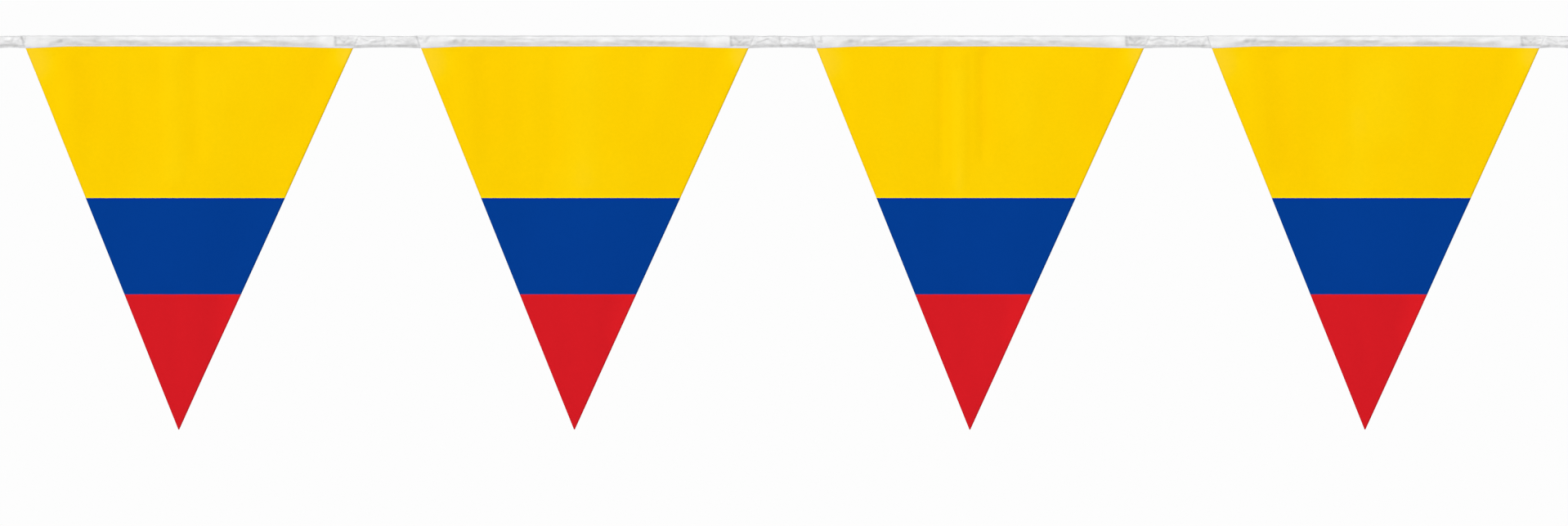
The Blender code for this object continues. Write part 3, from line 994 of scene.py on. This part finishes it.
def selvedge_tree():
    """A thin round edge along a line."""
    tree, b, entry = geometry_tree("Woven Edge", [("Radius", "Float"), ("Material", "Material")])
    line = b.node("GeometryNodeMeshToCurve", {"Mesh": entry.out("Geometry")})
    close_tree(b, tube(b, line, 7, entry.out("Radius")), entry.out("Material"))
    return tree


def seam_line(layer, lift):
    """The seam on one layer, a point at each station between its ends, lifted off the cloth."""
    points = []
    for section in layer[SEAM_STOP:-SEAM_STOP]:
        height = section[-1][2] + SEAM_UP
        y = np.interp(-height, -section[:, 2], section[:, 1])
        points.append((section[0][0], y + lift, height))
    return np.array(points)


class BUNTING_OT_stage(bpy.types.Operator):
    """Adds the camera, the soft light, the white surroundings and the pale floor"""

    bl_idname = "bunting.stage"
    bl_label = "Stage"

    def execute(self, context):
        settings = context.scene.bunting_stage
        add_camera(context, settings)
        add_lights(settings)
        add_surroundings(context, settings)
        add_floor(settings)
        return {"FINISHED"}


def add_camera(context, settings):
    """A level camera, as far off as the photograph's frame and the lens ask."""
    data = bpy.data.cameras.new("camera")
    data.lens = settings.lens
    data.clip_end = 100
    camera = add_object("camera", data)
    distance = PHOTO_WIDTH * METRES_PER_PIXEL * data.lens / data.sensor_width
    height = (RIBBON_TOP_PIXEL - PHOTO_HEIGHT / 2) * METRES_PER_PIXEL
    camera.location = (VIEW_CENTRE, -distance, height)
    camera.rotation_euler = (math.radians(90), 0, 0)
    context.scene.camera = camera


def add_sun(name, azimuth, elevation, strength, softness):
    """Even, soft light from one direction. Azimuth turns from the front to the left."""
    data = bpy.data.lights.new(name, "SUN")
    data.energy = math.pi * strength
    data.angle = softness
    light = add_object(name, data)
    level = math.cos(elevation)
    source = Vector((-math.sin(azimuth) * level, -math.cos(azimuth) * level, math.sin(elevation)))
    light.rotation_euler = source.to_track_quat("Z", "Y").to_euler()
    light.location = source * 3


def add_lights(settings):
    """The key light from nearly straight in front, and a weaker one from behind for the other side."""
    facing = math.cos(settings.key_azimuth) * math.cos(settings.key_elevation)
    add_sun("key", settings.key_azimuth, settings.key_elevation, settings.key / facing, KEY_SPREAD)
    add_sun("back_fill", *FILL)


def add_surroundings(context, settings):
    """White to the camera, softer as light."""
    world = bpy.data.worlds.new("surroundings")
    context.scene.world = world
    world.use_nodes = True
    world.node_tree.nodes.clear()
    b = TreeBuilder(world.node_tree)
    seen = b.node("ShaderNodeBackground", {"Color": (1, 1, 1, 1), "Strength": settings.backdrop})
    upward = b.split(b.node("ShaderNodeTexCoord"))[2]
    soft = settings.ground + b.step(upward, -HORIZON, HORIZON) * (settings.sky - settings.ground)
    light = b.node("ShaderNodeBackground", {"Color": (1, 1, 1, 1), "Strength": soft})
    ray = b.node("ShaderNodeLightPath")
    mixed = b.node("ShaderNodeMixShader", {0: ray, 1: light, 2: seen})
    b.node("ShaderNodeOutputWorld", {"Surface": mixed})
    context.scene.view_settings.view_transform = "Standard"


def add_floor(settings):
    """A wide pale disc that fades into the white surroundings."""
    bm = bmesh.new()
    bmesh.ops.create_circle(bm, cap_ends=True, segments=96, radius=FLOOR_RADIUS)
    mesh = bpy.data.meshes.new("floor")
    bm.to_mesh(mesh)
    bm.free()
    level = min(outline.bottom for outline in OUTLINES) - settings.floor_drop
    for vertex in mesh.vertices:
        vertex.co.z = level
    floor = add_object("floor", mesh)
    material, b = new_material("pale_floor", (0.9, 0.9, 0.9))
    place = b.place()
    x, y, _ = b.split(place)
    away = (x * x + y * y).math("SQRT")
    fade = FLOOR_LEAST + b.step(away, *FLOOR_FADE) * (1 - FLOOR_LEAST)
    grain = 0.88 + b.vary(0.02, place, 6.0)
    matt = b.node("ShaderNodeBsdfDiffuse", {"Color": b.grey(grain)})
    white = b.node("ShaderNodeEmission", {"Color": (1, 1, 1, 1), "Strength": settings.backdrop})
    mixed = b.node("ShaderNodeMixShader", {0: fade, 1: matt, 2: white})
    b.node("ShaderNodeOutputMaterial", {"Surface": mixed})
    mesh.materials.append(material)
    floor.visible_diffuse = False
    floor.visible_glossy = False


class BUNTING_OT_pennants(bpy.types.Operator):
    """Drapes the four printed pennants on their solids"""

    bl_idname = "bunting.pennants"
    bl_label = "Pennants"

    def execute(self, context):
        settings = context.scene.bunting_pennants
        face = printed_cloth("printed_face", settings, 1.0)
        reverse = printed_cloth("printed_reverse", settings, 0.97)
        tree = drape_tree()
        for number, node in enumerate(PENNANTS):
            piece = pennant_sheet(number, settings, tree, [face, reverse])
            outline = OUTLINES[number]
            width = outline.right - outline.left
            drop = outline.top - outline.bottom
            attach(piece, BODY)
            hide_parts(node)
            width * drop / 2
        return {"FINISHED"}


class BUNTING_OT_ribbon(bpy.types.Operator):
    """Folds the white ribbon over the pennants, with its seams and woven edges"""

    bl_idname = "bunting.ribbon"
    bl_label = "Ribbon, Stitches and Edges"

    def execute(self, context):
        settings = context.scene.bunting_ribbon
        sewing = context.scene.bunting_sewing
        form = ribbon_form(settings)
        ribbon, width = ribbon_sheet(form, settings, ribbon_cloth(settings))
        lift = settings.thickness / 2 + sewing.thread_radius * 0.4
        # The stitches take the ribbon's painted shade, and the woven edge gets painted shade between the
        # pennants
        stitches = path_piece(
            "seam_stitches", seam_line(form.front, -lift), seam_line(form.back, lift),
            [shade[SEAM_STOP:-SEAM_STOP, SEAM_ROW] for shade in form.shade], stitch_tree(), {
                "Pitch": sewing.pitch, "Thread Radius": sewing.thread_radius,
                "Dip": sewing.dip, "Seed": sewing.seed,
                "Material": thread_cloth("sewing_thread", sewing.thread, THREAD_TWIST)})
        edge_shade = (1 - over_pennant(form.x, CORNER_LEVEL)) * EDGE_SHADE
        selvedge = path_piece(
            "ribbon_selvedge", form.front[:, -1], form.back[:, -1], [edge_shade] * 2, selvedge_tree(), {
                "Radius": sewing.edge_radius,
                "Material": thread_cloth("woven_edge", settings.selvedge, EDGE_TWIST)})
        for piece in (ribbon, stitches, selvedge):
            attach(piece, BODY)
        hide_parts(TAPE)
        return {"FINISHED"}


class BUNTING_PT_panel(bpy.types.Panel):
    """Lists the sizes and colours, and the steps that build the bunting."""

    bl_idname = "BUNTING_PT_panel"
    bl_label = "Flag Bunting"
    bl_space_type = "VIEW_3D"
    bl_region_type = "UI"
    bl_category = "Bunting"

    def draw(self, context):
        for operator, settings in STEPS:
            box = self.layout.box()
            for name in settings:
                group = getattr(context.scene, name)
                for key in group.__annotations__:
                    box.prop(group, key)
            box.operator(operator.bl_idname)


SETTINGS = {
    "bunting_stage": StageSettings,
    "bunting_pennants": PennantSettings,
    "bunting_ribbon": RibbonSettings,
    "bunting_sewing": SewingSettings,
}
STEPS = [
    (BUNTING_OT_stage, ["bunting_stage"]),
    (BUNTING_OT_pennants, ["bunting_pennants"]),
    (BUNTING_OT_ribbon, ["bunting_ribbon", "bunting_sewing"]),
]
CLASSES = [*SETTINGS.values(), *(operator for operator, _ in STEPS), BUNTING_PT_panel]


def register():
    for cls in CLASSES:
        bpy.utils.register_class(cls)
    for name, group in SETTINGS.items():
        setattr(bpy.types.Scene, name, bpy.props.PointerProperty(type=group))


def unregister():
    for name in SETTINGS:
        delattr(bpy.types.Scene, name)
    for cls in reversed(CLASSES):
        bpy.utils.unregister_class(cls)


def main():
    register()
    bpy.ops.bunting.stage()
    bpy.ops.bunting.pennants()
    bpy.ops.bunting.ribbon()


if __name__ == "__main__":
    main()
